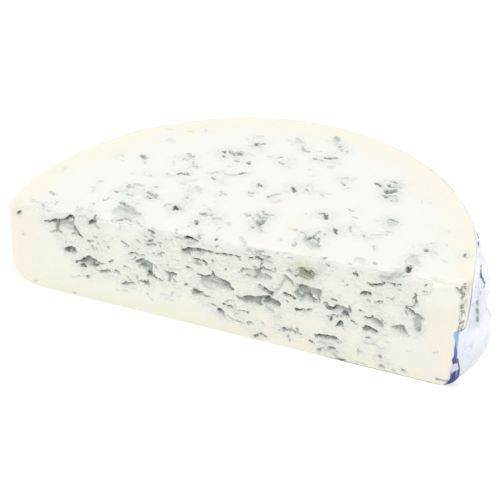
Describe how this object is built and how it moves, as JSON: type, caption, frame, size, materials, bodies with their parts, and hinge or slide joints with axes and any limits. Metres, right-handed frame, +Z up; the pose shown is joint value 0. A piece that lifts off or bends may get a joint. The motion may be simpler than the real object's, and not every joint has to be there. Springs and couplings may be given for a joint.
{
  "type": "blue cheese half wheel",
  "caption": "Half a round blue cheese cut level at mid height, veined cut faces on top and in front, with its torn foil on the curved side.",
  "frame": {"origin": "on the flat underside, 50 mm behind the upright cut face, midway between its ends", "axes": "+X along the upright cut face to its right end as seen from in front, +Y from the cut face back to the curved side, +Z up"},
  "size_m": [0.2088, 0.1045, 0.0508],
  "materials": {
    "cheese": "moist ivory paste with grey-green to dark olive veins in open hollows, and a thin cream-grey rind on the curved side and underneath",
    "foil": "thin crinkled foil, white and pale lilac with soft silver sheen and blue printed fields, torn at one upper corner"
  },
  "bodies": {
    "root": {"cheese": "cheese", "wrapper": "foil"}
  },
  "joints": []
}
